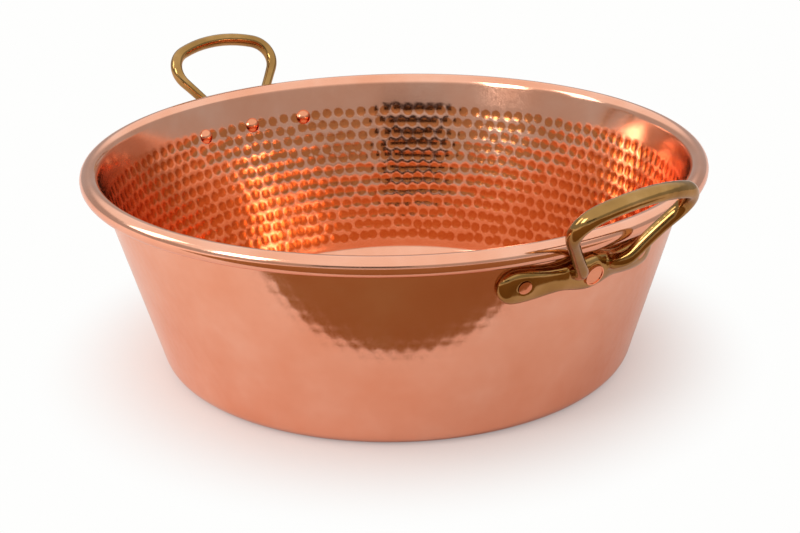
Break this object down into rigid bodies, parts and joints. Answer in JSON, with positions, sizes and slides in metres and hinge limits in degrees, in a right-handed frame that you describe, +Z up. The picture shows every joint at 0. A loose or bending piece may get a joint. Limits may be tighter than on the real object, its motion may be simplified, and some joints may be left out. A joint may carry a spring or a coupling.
{
  "type": "jam pan",
  "caption": "Wide flared copper jam pan with a hammered wall, a rolled hollow rim and two riveted cast bronze stirrup handles.",
  "frame": {"origin": "middle of the bowl's flat base, on the surface that the pan stands on", "axes": "+Z up through the bowl's middle; the two handles lie along +X and -X"},
  "size_m": [0.455, 0.3824, 0.1622],
  "materials": {
    "hammered_copper": "polished, hammered wall, smooth bead and floor",
    "cast_bronze": "polished casting",
    "rivet_copper": "polished"
  },
  "bodies": {
    "root": {"bowl": "hammered_copper", "handle_right": "cast_bronze", "handle_left": "cast_bronze", "rivet_right_front": "rivet_copper", "rivet_right_centre": "rivet_copper", "rivet_right_back": "rivet_copper", "rivet_left_front": "rivet_copper", "rivet_left_centre": "rivet_copper", "rivet_left_back": "rivet_copper"}
  },
  "joints": []
}
